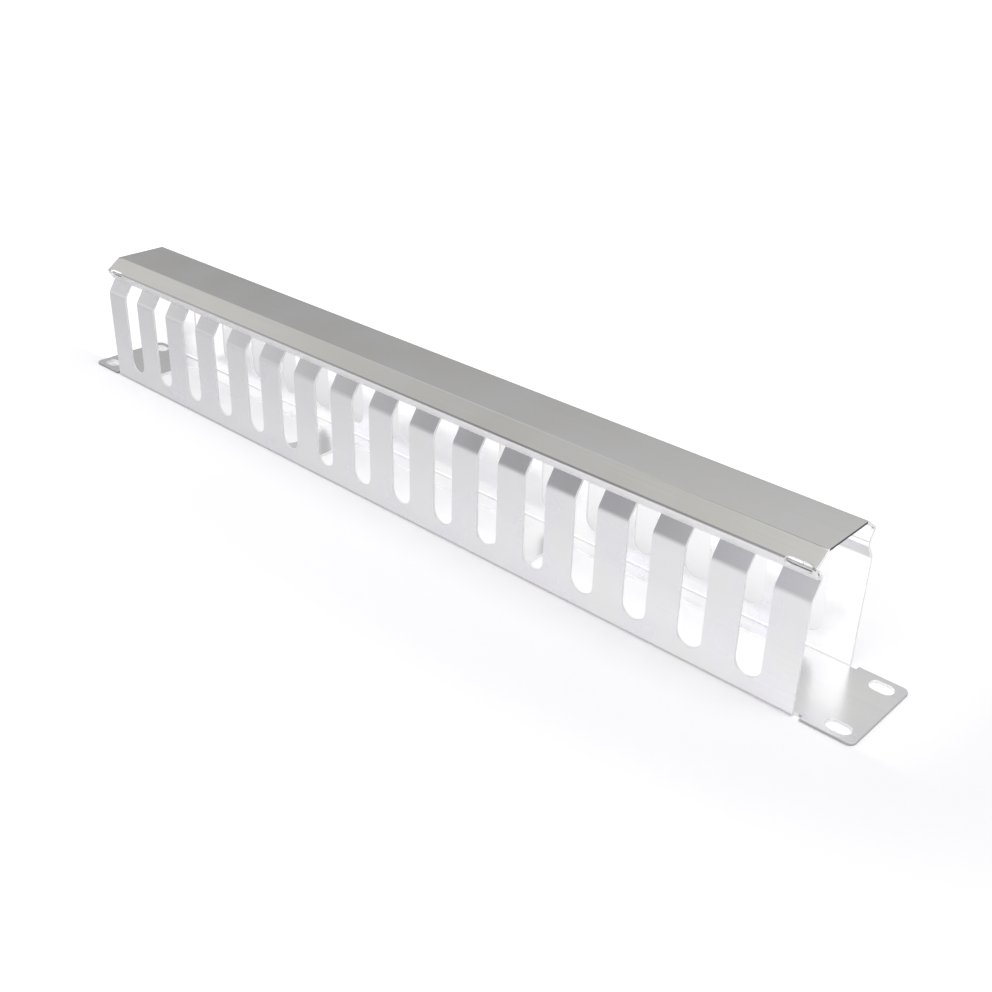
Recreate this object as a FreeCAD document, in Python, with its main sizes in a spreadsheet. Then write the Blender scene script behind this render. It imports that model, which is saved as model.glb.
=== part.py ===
import FreeCAD, Part
import math
import os

import Sketcher

# Horizontal cable manager for a 19 inch rack, one rack unit high.
# Two folded sheets: a comb duct with rack ears, and a cover whose V shaped lips clip over the comb.
# The duct lies on its back: X runs along it, Y across its height, Z out of the rack.
# The origin is the middle of its back face.

SIZES = {
    # Duct: the flat pattern's driving sizes
    "rack_width": 482.6,
    "panel_height": 43.6,
    "ear_length": 24.3,
    "sheet_gauge": 1.2,
    "bend_radius": 1.0,
    # Comb walls: the finger's three straight runs and the slots between fingers
    "wall_height": 49.2,
    "tip_length": 8.8,
    "tip_slope": 56.5,
    "hook_length": 3.6,
    "clip_slope": 57.0,
    "finger_width": 14.7,
    "slot_count": 16,
    "slot_floor": 7.8,
    # Ears: rack slots, rounded corners and the relief that lets the wall fold up beside the ear
    "ear_corner": 3.0,
    "hole_end_inset": 8.75,
    "hole_side_inset": 5.925,
    "hole_length": 10.0,
    "hole_width": 6.5,
    "relief_length": 3.0,
    # Cable windows punched in the back
    "window_count": 3,
    "window_length": 120.0,
    "window_height": 25.0,
    "window_corner": 6.0,
    "web_width": 20.0,
    # Cover
    "cover_gauge": 1.0,
    "cover_bend": 0.4,
    "cover_end_gap": 0.5,
    "lip_length": 5.8,
    "lip_seat": 0.8,
    "flange_length": 9.6,
    "flange_slope": 35.7,
    "clip_clearance": 0.3,
    # Catch windows across the cover's fold, one over each end finger
    "catch_length": 11.0,
    "catch_height": 4.2,
    "catch_drop": 0.8,
}

# Sizes that follow from the driving ones, as formulas on the sheet
BODY_LENGTH = "(Sizes.rack_width - 2 * Sizes.ear_length)"
FINGER_PITCH = f"(({BODY_LENGTH} - Sizes.finger_width) / Sizes.slot_count)"
SLOT_RADIUS = f"(({FINGER_PITCH} - Sizes.finger_width) / 2)"
FIRST_SLOT = f"(({FINGER_PITCH} + Sizes.finger_width - {BODY_LENGTH}) / 2)"
END_FINGER = f"({FINGER_PITCH} * Sizes.slot_count / 2)"
OUTER_BEND = "(Sizes.bend_radius + Sizes.sheet_gauge)"
HOLE_ACROSS = "(Sizes.rack_width / 2 - Sizes.hole_end_inset)"
HOLE_UP = "(Sizes.panel_height / 2 - Sizes.hole_side_inset)"
WAIST_Y = "(Sizes.panel_height / 2 - Sizes.tip_length * cos(Sizes.tip_slope))"
WAIST_Z = "(Sizes.wall_height + Sizes.tip_length * sin(Sizes.tip_slope))"
COVER_LENGTH = f"({BODY_LENGTH} - 2 * Sizes.cover_end_gap)"
COVER_OUTER_BEND = "(Sizes.cover_bend + Sizes.cover_gauge)"
LIP_OFFSET = "(Sizes.clip_clearance + Sizes.cover_gauge)"
LIP_END_Y = f"({WAIST_Y} + Sizes.lip_seat * cos(Sizes.clip_slope) + {LIP_OFFSET} * sin(Sizes.clip_slope))"
LIP_END_Z = f"({WAIST_Z} + Sizes.lip_seat * sin(Sizes.clip_slope) - {LIP_OFFSET} * cos(Sizes.clip_slope))"
FOLD_Y = f"({LIP_END_Y} + Sizes.lip_length * cos(Sizes.clip_slope))"
FOLD_Z = f"({LIP_END_Z} + Sizes.lip_length * sin(Sizes.clip_slope))"
COVER_TOP = f"({FOLD_Z} + Sizes.flange_length * sin(Sizes.flange_slope))"
WINDOW_PITCH = "(Sizes.window_length + Sizes.web_width)"

doc = FreeCAD.newDocument("CableManager")
START, END, CENTRE = range(1, 4)
HORIZONTAL_AXIS, VERTICAL_AXIS = range(-1, -3, -1)
SAME_PLACE = 0.01


# Spreadsheet

def make_sheet():
    sheet = doc.addObject("Spreadsheet::Sheet", "Sizes")
    for row, (name, value) in enumerate(SIZES.items(), start=1):
        sheet.set(f"A{row}", name)
        sheet.set(f"B{row}", str(value))
        sheet.setAlias(f"B{row}", name)
    doc.recompute()
    return sheet


sheet = make_sheet()


def value_of(formula):
    """The present value of a formula on the sheet, in millimetres or degrees."""
    return float(sheet.evalExpression(formula))


# Sketch helpers

def origin_plane(body, role):
    return next(item for item in body.Origin.OriginFeatures if item.Role == role)


def new_body(label):
    body = doc.addObject("PartDesign::Body", label)
    body.Label = label
    return body


def new_sketch(body, name, role):
    sketch = body.newObject("Sketcher::SketchObject", name)
    sketch.AttachmentSupport = [(origin_plane(body, role), "")]
    sketch.MapMode = "FlatFace"
    return sketch


def dimension(sketch, kind, *arguments, formula):
    """Add a dimension whose value follows a formula on the sheet."""
    first = value_of(formula)
    if kind == "Angle":
        first = math.radians(first)
        formula = f"({formula}) * 1 deg"
    index = sketch.addConstraint(Sketcher.Constraint(kind, *arguments, first))
    sketch.setExpression(f"Constraints[{index}]", formula)


def place_point(sketch, shape, point, across, up):
    """Hold a point at a formula along and up from the sketch's origin."""
    dimension(sketch, "DistanceX", HORIZONTAL_AXIS, START, shape, point, formula=across)
    dimension(sketch, "DistanceY", HORIZONTAL_AXIS, START, shape, point, formula=up)


def line(sketch, start, end):
    first = FreeCAD.Vector(start[0], start[1], 0)
    second = FreeCAD.Vector(end[0], end[1], 0)
    return sketch.addGeometry(Part.LineSegment(first, second))


def arc(sketch, centre, radius, start_angle, end_angle):
    circle = Part.Circle(FreeCAD.Vector(centre[0], centre[1], 0), FreeCAD.Vector(0, 0, 1), radius)
    return sketch.addGeometry(Part.ArcOfCircle(circle, math.radians(start_angle), math.radians(end_angle)))


def join(sketch, first, first_point, second, second_point, kind="Coincident"):
    sketch.addConstraint(Sketcher.Constraint(kind, first, first_point, second, second_point))


def folded_outline(sketch, runs, side, gauge):
    """Closed outline of a folded sheet, symmetric about the sketch's vertical axis.

    runs is a list of (length formula, direction formula) from one edge of the sheet to the other,
    and its middle run lies level. side is 1 where the thickness lies to the left of the travel
    and -1 where it lies to the right.
    Returns the numbers of the lines on the outer and the inner face.
    """
    middle = len(runs) // 2
    corners = [(0.0, 0.0)]
    headings = []
    for length, direction in runs:
        heading = math.radians(value_of(direction))
        headings.append(heading)
        reach = value_of(length)
        last = corners[-1]
        corners.append((last[0] + reach * math.cos(heading), last[1] + reach * math.sin(heading)))
    shift = -(corners[middle][0] + corners[middle + 1][0]) / 2
    lift = value_of(WAIST_Z) - corners[1][1] if side > 0 else value_of(LIP_END_Z) - corners[0][1]
    corners = [(across + shift, up + lift) for across, up in corners]
    thickness = value_of(gauge)
    inner_corners = []
    for number, corner in enumerate(corners):
        before = headings[max(number - 1, 0)]
        after = headings[min(number, len(headings) - 1)]
        bisector = (before + after) / 2
        reach = thickness / math.cos((after - before) / 2)
        across = corner[0] - side * reach * math.sin(bisector)
        up = corner[1] + side * reach * math.cos(bisector)
        inner_corners.append((across, up))
    outer = [line(sketch, first, second) for first, second in zip(corners, corners[1:])]
    inner = [line(sketch, first, second) for first, second in zip(inner_corners, inner_corners[1:])]
    caps = [line(sketch, corners[0], inner_corners[0]), line(sketch, corners[-1], inner_corners[-1])]
    for chain in (outer, inner):
        for first, second in zip(chain, chain[1:]):
            join(sketch, first, END, second, START)
    for cap, number, point in ((caps[0], 0, START), (caps[1], -1, END)):
        join(sketch, cap, START, outer[number], point)
        join(sketch, cap, END, inner[number], point)
        sketch.addConstraint(Sketcher.Constraint("Perpendicular", cap, outer[number]))
    for face, back in zip(outer, inner):
        sketch.addConstraint(Sketcher.Constraint("Parallel", face, back))
        dimension(sketch, "Distance", back, END, face, formula=gauge)
    base = outer[middle]
    sketch.addConstraint(Sketcher.Constraint("Symmetric", base, START, base, END, VERTICAL_AXIS))
    for number, (length, direction) in enumerate(runs):
        if number != middle:
            dimension(sketch, "Angle", outer[number], formula=direction)
            dimension(sketch, "Distance", outer[number], formula=length)
    return outer, inner


def obround(sketch, across, up, length, width):
    """A slot with round ends, centred on two formulas."""
    centre_x = value_of(across)
    centre_y = value_of(up)
    radius = value_of(width) / 2
    half = value_of(length) / 2 - radius
    right = arc(sketch, (centre_x + half, centre_y), radius, -90, 90)
    left = arc(sketch, (centre_x - half, centre_y), radius, 90, 270)
    top = line(sketch, (centre_x + half, centre_y + radius), (centre_x - half, centre_y + radius))
    bottom = line(sketch, (centre_x - half, centre_y - radius), (centre_x + half, centre_y - radius))
    join(sketch, right, END, top, START, "Tangent")
    join(sketch, top, END, left, START, "Tangent")
    join(sketch, left, END, bottom, START, "Tangent")
    join(sketch, bottom, END, right, START, "Tangent")
    sketch.addConstraint(Sketcher.Constraint("Horizontal", top))
    sketch.addConstraint(Sketcher.Constraint("Horizontal", bottom))
    dimension(sketch, "Radius", right, formula=f"{width} / 2")
    place_point(sketch, left, CENTRE, f"{across} - ({length} - {width}) / 2", up)
    dimension(sketch, "DistanceX", left, CENTRE, right, CENTRE, formula=f"{length} - {width}")


def rectangle(sketch, left, right, bottom, top):
    """A rectangle between four formulas."""
    low_x, high_x, low_y, high_y = (value_of(formula) for formula in (left, right, bottom, top))
    corners = [(low_x, low_y), (high_x, low_y), (high_x, high_y), (low_x, high_y)]
    sides = [line(sketch, corners[number], corners[(number + 1) % 4]) for number in range(4)]
    for number in range(4):
        join(sketch, sides[number], END, sides[(number + 1) % 4], START)
        kind = "Horizontal" if number % 2 == 0 else "Vertical"
        sketch.addConstraint(Sketcher.Constraint(kind, sides[number]))
    place_point(sketch, sides[0], START, left, bottom)
    place_point(sketch, sides[1], END, right, top)


def rounded_rectangle(sketch, across, length, height, corner):
    """A rectangle with round corners, centred on a formula along the sketch's horizontal axis."""
    centre = value_of(across)
    radius = value_of(corner)
    half_length = value_of(length) / 2
    half_height = value_of(height) / 2
    sides = []
    arcs = []
    for number, (x_way, y_way) in enumerate(((1, -1), (1, 1), (-1, 1), (-1, -1))):
        pivot = (centre + x_way * (half_length - radius), y_way * (half_height - radius))
        arcs.append((pivot, -90 + 90 * number))
    for number in range(4):
        pivot, angle = arcs[number]
        following, _ = arcs[(number + 1) % 4]
        turn = math.radians(angle + 90)
        reach = (radius * math.cos(turn), radius * math.sin(turn))
        sides.append(line(sketch, (pivot[0] + reach[0], pivot[1] + reach[1]),
                          (following[0] + reach[0], following[1] + reach[1])))
    rounds = [arc(sketch, pivot, radius, angle, angle + 90) for pivot, angle in arcs]
    for number in range(4):
        join(sketch, rounds[number], END, sides[number], START, "Tangent")
        join(sketch, sides[number], END, rounds[(number + 1) % 4], START, "Tangent")
        kind = "Vertical" if number % 2 == 0 else "Horizontal"
        sketch.addConstraint(Sketcher.Constraint(kind, sides[number]))
        if number > 0:
            sketch.addConstraint(Sketcher.Constraint("Equal", rounds[0], rounds[number]))
    dimension(sketch, "Radius", rounds[0], formula=corner)
    dimension(sketch, "DistanceX", rounds[2], CENTRE, rounds[1], CENTRE, formula=f"{length} - 2 * {corner}")
    dimension(sketch, "DistanceY", rounds[0], CENTRE, rounds[1], CENTRE, formula=f"{height} - 2 * {corner}")
    place_point(sketch, rounds[1], CENTRE, f"{across} + {length} / 2 - {corner}", f"{height} / 2 - {corner}")


# Feature helpers

def pad(body, name, sketch, length, symmetric=False):
    feature = body.newObject("PartDesign::Pad", name)
    feature.Profile = sketch
    feature.SideType = "Symmetric" if symmetric else "One side"
    feature.setExpression("Length", length)
    doc.recompute()
    return feature


def cut_through(body, name, sketch):
    """Cut the sketch right through the body, both ways from its plane."""
    before = body.Shape.Volume
    feature = body.newObject("PartDesign::Pocket", name)
    feature.Profile = sketch
    feature.SideType = "Two sides"
    feature.Type = "ThroughAll"
    feature.Type2 = "ThroughAll"
    doc.recompute()
    if not feature.Shape.Volume < before:
        raise RuntimeError(f"{name} removes nothing")
    return feature


def pattern_along(body, name, feature, sketch, length, count):
    """Repeat a feature along the sketch's horizontal axis."""
    pattern = body.newObject("PartDesign::LinearPattern", name)
    pattern.Originals = [feature]
    pattern.Direction = (sketch, ["H_Axis"])
    pattern.setExpression("Length", length)
    pattern.setExpression("Occurrences", count)
    body.Tip = pattern
    doc.recompute()
    return pattern


def edges_at(feature, sketch, lines):
    """The long edges that run along the sheet from the starts of the given sketch lines."""
    wanted = [sketch.getPoint(number, START) for number in lines]
    names = []
    for number, edge in enumerate(feature.Shape.Edges, start=1):
        ends = [vertex.Point for vertex in edge.Vertexes]
        for point in wanted:
            gaps = [math.hypot(end.y - point.x, end.z - point.y) for end in ends]
            if len(ends) == 2 and max(gaps) < SAME_PLACE:
                names.append(f"Edge{number}")
    return names


def round_edges(body, name, feature, edges, radius):
    fillet = body.newObject("PartDesign::Fillet", name)
    fillet.Base = (feature, edges)
    fillet.setExpression("Radius", radius)
    doc.recompute()
    return fillet


def round_bends(body, feature, sketch, faces, turns, inside, outside):
    """Give every fold its inside and outside radius.

    faces holds the sketch lines of the outer and the inner face, and turns says for each fold
    whether the outer face is the long way round it (1) or the short way (-1).
    """
    outer, inner = faces
    long_way = [(outer if turn > 0 else inner)[number] for number, turn in enumerate(turns, start=1)]
    short_way = [(inner if turn > 0 else outer)[number] for number, turn in enumerate(turns, start=1)]
    hollow = round_edges(body, "FoldInsides", feature, edges_at(feature, sketch, short_way), inside)
    return round_edges(body, "FoldOutsides", hollow, edges_at(hollow, sketch, long_way), outside)


# Duct body: one sheet folded into a back, two comb walls and two ears

def make_duct():
    body = new_body("duct_body")
    profile = new_sketch(body, "DuctProfile", "YZ_Plane")
    runs = [
        ("Sizes.hook_length", "-Sizes.clip_slope"),
        ("Sizes.tip_length", "Sizes.tip_slope - 180"),
        ("Sizes.wall_height", "-90"),
        ("Sizes.panel_height", "0"),
        ("Sizes.wall_height", "90"),
        ("Sizes.tip_length", "180 - Sizes.tip_slope"),
        ("Sizes.hook_length", "Sizes.clip_slope"),
    ]
    faces = folded_outline(profile, runs, 1, "Sizes.sheet_gauge")
    back = faces[0][len(runs) // 2]
    dimension(profile, "Distance", back, formula="Sizes.panel_height")
    profile.addConstraint(Sketcher.Constraint("PointOnObject", back, START, HORIZONTAL_AXIS))
    channel = pad(body, "Channel", profile, BODY_LENGTH, symmetric=True)
    round_bends(body, channel, profile, faces, (-1, 1, 1, 1, 1, -1), "Sizes.bend_radius", OUTER_BEND)
    add_ears(body)
    cut_rack_holes(body)
    cut_comb(body)
    cut_windows(body)
    return body


def add_ears(body):
    """The back runs on past the walls as two ears, with a relief notch beside each wall's fold."""
    ears = new_sketch(body, "EarOutline", "XY_Plane")
    wall_end = f"{BODY_LENGTH} / 2"
    ear_end = "Sizes.rack_width / 2"
    half_height = "Sizes.panel_height / 2"
    rectangle(ears, wall_end, ear_end, f"-{half_height}", half_height)
    rectangle(ears, f"-{ear_end}", f"-{wall_end}", f"-{half_height}", half_height)
    plates = pad(body, "Ears", ears, "Sizes.sheet_gauge")
    corners = []
    for number, edge in enumerate(plates.Shape.Edges, start=1):
        middle = edge.CenterOfMass
        at_end = abs(abs(middle.x) - value_of(ear_end)) < SAME_PLACE
        at_side = abs(abs(middle.y) - value_of(half_height)) < SAME_PLACE
        if at_end and at_side:
            corners.append(f"Edge{number}")
    round_edges(body, "EarCorners", plates, corners, "Sizes.ear_corner")
    reliefs = new_sketch(body, "ReliefOutline", "XY_Plane")
    notch_end = f"{wall_end} + Sizes.relief_length"
    notch_floor = f"{half_height} - {OUTER_BEND}"
    clear = f"{half_height} + Sizes.sheet_gauge"
    for left, right in ((wall_end, notch_end), (f"-({notch_end})", f"-{wall_end}")):
        rectangle(reliefs, left, right, notch_floor, clear)
        rectangle(reliefs, left, right, f"-({clear})", f"-({notch_floor})")
    cut_through(body, "BendReliefs", reliefs)


def cut_rack_holes(body):
    """Two level slots in each ear take the rack screws."""
    holes = new_sketch(body, "RackHoleOutline", "XY_Plane")
    for across in (HOLE_ACROSS, f"-{HOLE_ACROSS}"):
        for up in (HOLE_UP, f"-{HOLE_UP}"):
            obround(holes, across, up, "Sizes.hole_length", "Sizes.hole_width")
    cut_through(body, "RackHoles", holes)


def cut_comb(body):
    """Open slots with round floors leave the fingers of both walls standing."""
    outline = new_sketch(body, "CombSlotOutline", "XZ_Plane")
    centre = (value_of(FIRST_SLOT), value_of(f"Sizes.slot_floor + {SLOT_RADIUS}"))
    radius = value_of(SLOT_RADIUS)
    mouth = value_of(COVER_TOP)
    floor = arc(outline, centre, radius, 180, 360)
    right = line(outline, (centre[0] + radius, centre[1]), (centre[0] + radius, mouth))
    top = line(outline, (centre[0] + radius, mouth), (centre[0] - radius, mouth))
    left = line(outline, (centre[0] - radius, mouth), (centre[0] - radius, centre[1]))
    join(outline, floor, END, right, START, "Tangent")
    join(outline, left, END, floor, START, "Tangent")
    join(outline, right, END, top, START)
    join(outline, top, END, left, START)
    for side in (left, right):
        outline.addConstraint(Sketcher.Constraint("Vertical", side))
    outline.addConstraint(Sketcher.Constraint("Horizontal", top))
    dimension(outline, "Radius", floor, formula=SLOT_RADIUS)
    place_point(outline, floor, CENTRE, FIRST_SLOT, f"Sizes.slot_floor + {SLOT_RADIUS}")
    dimension(outline, "DistanceY", HORIZONTAL_AXIS, START, top, START, formula=COVER_TOP)
    first = cut_through(body, "FirstCombSlot", outline)
    reach = f"{FINGER_PITCH} * (Sizes.slot_count - 1)"
    pattern_along(body, "CombSlots", first, outline, reach, "Sizes.slot_count")


def cut_windows(body):
    """Large windows with webs between them let cables through the back."""
    outline = new_sketch(body, "WindowOutline", "XY_Plane")
    reach = f"{WINDOW_PITCH} * (Sizes.window_count - 1)"
    sizes = ("Sizes.window_length", "Sizes.window_height", "Sizes.window_corner")
    rounded_rectangle(outline, f"(-{reach} / 2)", *sizes)
    first = cut_through(body, "FirstWindow", outline)
    pattern_along(body, "Windows", first, outline, reach, "Sizes.window_count")


# Cover: one sheet folded into a flat top, two sloping flanges and two return lips

def make_cover():
    body = new_body("cover")
    profile = new_sketch(body, "CoverProfile", "YZ_Plane")
    runs = [
        ("Sizes.lip_length", "180 - Sizes.clip_slope"),
        ("Sizes.flange_length", "Sizes.flange_slope"),
        (f"2 * ({FOLD_Y} - Sizes.flange_length * cos(Sizes.flange_slope))", "0"),
        ("Sizes.flange_length", "-Sizes.flange_slope"),
        ("Sizes.lip_length", "Sizes.clip_slope - 180"),
    ]
    faces = folded_outline(profile, runs, -1, "Sizes.cover_gauge")
    place_point(profile, faces[0][-1], END, LIP_END_Y, LIP_END_Z)
    shell = pad(body, "Shell", profile, COVER_LENGTH, symmetric=True)
    round_bends(body, shell, profile, faces, (1, 1, 1, 1), "Sizes.cover_bend", COVER_OUTER_BEND)
    catches = new_sketch(body, "CatchOutline", "XZ_Plane")
    for across in (END_FINGER, f"-{END_FINGER}"):
        obround(catches, across, f"{FOLD_Z} - Sizes.catch_drop", "Sizes.catch_length", "Sizes.catch_height")
    cut_through(body, "CatchWindows", catches)
    return body


# Checks and export

def check_document(bodies):
    doc.recompute()
    for item in doc.Objects:
        if "Invalid" in item.State or "Error" in item.State:
            raise RuntimeError(f"{item.Label} did not build: {item.State}")
    for body in bodies:
        if body.Shape.isNull() or not body.Shape.isValid() or len(body.Shape.Solids) != 1:
            raise RuntimeError(f"{body.Label} is not one valid solid")


bodies = [make_duct(), make_cover()]
check_document(bodies)
os.makedirs("parts", exist_ok=True)
for body in bodies:
    body.Shape.exportStep(f"parts/{body.Label}.step")
    box = body.Shape.BoundBox
    print(f"{body.Label}: {body.Shape.Volume:.0f} mm3, {len(body.Shape.Faces)} faces,"
          f" X {box.XMin:.2f} {box.XMax:.2f}, Y {box.YMin:.2f} {box.YMax:.2f},"
          f" Z {box.ZMin:.2f} {box.ZMax:.2f}")
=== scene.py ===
# %% [markdown]
# A cable manager is two pieces of folded sheet steel: a comb duct that screws into a rack, and a
# cover that clips over the comb. Nothing on it is thicker than 1.2 mm, so what the eye reads is
# not mass but reflection: each flat of the sheet mirrors another part of the room, softly.
# The lesson builds both pieces the way the factory does. A flat blank is punched, then a rule
# folds it, and the finish follows the sheet round its folds.

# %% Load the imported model
import math

import bmesh
import bpy
from mathutils import Matrix, Vector


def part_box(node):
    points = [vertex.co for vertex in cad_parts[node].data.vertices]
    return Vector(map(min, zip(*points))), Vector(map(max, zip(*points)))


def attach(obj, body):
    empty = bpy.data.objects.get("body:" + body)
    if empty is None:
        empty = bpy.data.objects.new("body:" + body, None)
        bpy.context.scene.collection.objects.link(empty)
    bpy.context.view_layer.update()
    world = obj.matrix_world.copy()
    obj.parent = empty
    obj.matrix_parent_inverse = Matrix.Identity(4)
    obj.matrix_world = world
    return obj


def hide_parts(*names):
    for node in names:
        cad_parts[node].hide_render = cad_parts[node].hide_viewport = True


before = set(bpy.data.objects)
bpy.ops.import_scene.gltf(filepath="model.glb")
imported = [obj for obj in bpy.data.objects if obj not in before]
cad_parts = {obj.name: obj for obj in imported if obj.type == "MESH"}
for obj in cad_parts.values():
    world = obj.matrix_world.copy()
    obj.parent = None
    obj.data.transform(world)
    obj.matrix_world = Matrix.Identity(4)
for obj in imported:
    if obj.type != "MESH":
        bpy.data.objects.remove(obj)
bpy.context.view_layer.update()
MM = 0.001


# %% [markdown]
# The camera comes first, so that every later choice can be judged in the final frame. Its place
# was worked out from the known sizes of the object: the corners of the folds and slots were
# matched to the photograph, and the camera that explains them all best was kept. It could also
# be set by eye, but a long straight object shows an error of half a degree at once.

# %% Camera
camera_data = bpy.data.cameras.new("camera")
camera = bpy.data.objects.new("camera", camera_data)
bpy.context.scene.collection.objects.link(camera)
bpy.context.scene.camera = camera

FRAME_PIXELS = 992
FOCAL_PIXELS = 1253.8
camera_data.sensor_width = 36.0
camera_data.lens = camera_data.sensor_width * FOCAL_PIXELS / FRAME_PIXELS
camera_data.clip_end = 50.0

eye = Vector((377.48, -361.09, 283.84)) * MM
target = Vector((65.78, -16.20, 30.0)) * MM
roll = math.radians(1.51)
turn = (target - eye).to_track_quat("-Z", "Y").to_matrix() @ Matrix.Rotation(roll, 3, "Z")
camera.matrix_world = Matrix.Translation(eye) @ turn.to_4x4()
print("lens", round(camera_data.lens, 2), "mm, distance", round((target - eye).length, 3), "m")

# %% [markdown]
# One small function adds a node to any tree, with its settings and its links. Shader trees and
# geometry trees are built the same way, so one function serves both.

# %% Helper: add a node


def add(tree, kind, inputs=None, **settings):
    """Add a node. inputs maps a socket's name or number to a value, a socket or a list of sockets."""
    made = tree.nodes.new(kind)
    for name, value in settings.items():
        setattr(made, name, value)
    for key, value in (inputs or {}).items():
        for item in value if isinstance(value, list) else [value]:
            if isinstance(item, bpy.types.NodeSocket):
                tree.links.new(item, made.inputs[key])
            else:
                made.inputs[key].default_value = item
    return made


# %% [markdown]
# Colours are written as the hex values that a colour picker shows, and one function turns them
# into the linear light that shaders work with.

# %% Helper: hex colour


def colour(text):
    """Linear RGBA from an sRGB hex string such as #C8C8CA."""
    channels = [int(text[place:place + 2], 16) / 255 for place in (1, 3, 5)]
    linear = [value / 12.92 if value <= 0.04045 else ((value + 0.055) / 1.055) ** 2.4
              for value in channels]
    return (*linear, 1.0)


print("mid grey is", [round(value, 3) for value in colour("#808080")])

# %% [markdown]
# A finish on folded sheet follows the sheet round every fold, as the grain of the real one does. So
# each pattern here reads the sheet's place in its flat blank, which the mesh carries as an
# attribute. A picture mapped with UVs could do that too, but it would blur up close.

# %% Helpers: patterns on the flat blank
BLANK_PLACE = "blank_place"


def blank_place_of(tree):
    """Where a point of the sheet lies in its flat blank: along, across and through."""
    return add(tree, "ShaderNodeAttribute", attribute_name=BLANK_PLACE).outputs["Vector"]


def places_from_middle(tree, place):
    """Distances along and across from the middle, without sign, and the place through the gauge."""
    *flat, through = add(tree, "ShaderNodeSeparateXYZ", {0: place}).outputs
    along, across = (add(tree, "ShaderNodeMath", {0: part}, operation="ABSOLUTE").outputs[0] for part in flat)
    return along, across, through


def noise_at(tree, place, size, detail):
    """Soft noise whose patches have the given size along, across and through the sheet."""
    scale = tuple(1 / length for length in size)
    scaled = add(tree, "ShaderNodeMapping", {"Vector": place, "Scale": scale})
    noise = add(tree, "ShaderNodeTexNoise", {"Vector": scaled.outputs[0], "Scale": 1.0, "Detail": detail})
    return noise.outputs[0]


def step_up(tree, value, low, high):
    """0 below low, 1 above high, and a smooth step between."""
    return add(tree, "ShaderNodeMapRange", {"Value": value, "From Min": low, "From Max": high},
               interpolation_type="SMOOTHSTEP").outputs[0]


print("patterns read the attribute", BLANK_PLACE)

# %% [markdown]
# Along a sharp fold, the outside of the sheet gets a thin darker line, which is painted shade. Past that line
# the flap gets a matt, pale band, which is a painted highlight. Both are bands at a known place across the
# blank, so smooth steps draw them. They could be painted on, but a change of size would want new paint.

# %% Helper: painted shade and highlight at a fold
# The first tone is painted shade for the line at the fold. The second tone, the roughness and the metal are
# the painted highlight on the flap past it.
CREASE_SHADE_TONE, CREASE_HIGHLIGHT_TONE = "#C6C6C6", "#FFFFFF"
CREASE_HIGHLIGHT_ROUGHNESS, CREASE_HIGHLIGHT_METAL = 0.2, -0.6


def crease_shade_and_highlight(tree, place, crease, tint, rough):
    """Tint, roughness and metal of a sheet with painted shade on the outside of a sharp fold and a painted
    highlight past it.
    """
    row, width, gauge = crease
    _, across, through = places_from_middle(tree, place)
    outside = step_up(tree, through, 0.4 * gauge, 0.6 * gauge)
    off = add(tree, "ShaderNodeMath", {0: across, 1: row}, operation="SUBTRACT").outputs[0]
    off_line = add(tree, "ShaderNodeMath", {0: off}, operation="ABSOLUTE").outputs[0]
    shade_band = step_up(tree, off_line, 0.7 * width, 0.3 * width)
    highlight_band = step_up(tree, off, 0.4 * width, 0.8 * width)
    shade_band, highlight_band = (add(tree, "ShaderNodeMath", {0: band, 1: outside}, operation="MULTIPLY").outputs[0]
                       for band in (shade_band, highlight_band))
    for share, tone in ((shade_band, CREASE_SHADE_TONE), (highlight_band, CREASE_HIGHLIGHT_TONE)):
        tint = add(tree, "ShaderNodeMix", {"Factor": share, 6: tint, 7: colour(tone)},
                   data_type="RGBA").outputs[2]
    rough = add(tree, "ShaderNodeMath", {0: highlight_band, 1: CREASE_HIGHLIGHT_ROUGHNESS, 2: rough},
                operation="MULTIPLY_ADD").outputs[0]
    metal = add(tree, "ShaderNodeMath", {0: highlight_band, 1: CREASE_HIGHLIGHT_METAL, 2: 1.0},
                operation="MULTIPLY_ADD").outputs[0]
    return tint, rough, metal


# Prints the painted shade tone of the fold and the painted highlight tone past it.
print("a worn fold is", CREASE_SHADE_TONE, "and the flap past it", CREASE_HIGHLIGHT_TONE)

# %% [markdown]
# The sheet is cold rolled steel with a bright zinc plating. Rolling leaves a fine grain along the
# strip, plating clouds and tints it a little, and together they give a satin mirror: shapes nearby
# show in it as soft patches. So the base is a metal whose roughness is near 0.25. The clouds move
# its tint and roughness by a few percent, and the grain shades and ripples it. Real rolling grain
# is about 0.05 mm wide, too fine for this view, so it is drawn at 0.8 mm to show at all.

# %% Sheet finish
CLOUD_SIZE, CLOUD_ROUGHNESS = 35 * MM, 0.04
CLOUD_EDGES = (0.35, 0.65)
GRAIN_LENGTH, GRAIN_WIDTH = 60 * MM, 0.8 * MM
GRAIN_TONE, GRAIN_BUMP, GRAIN_DEPTH = "#FAFAFA", 0.04, 0.02 * MM


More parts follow.
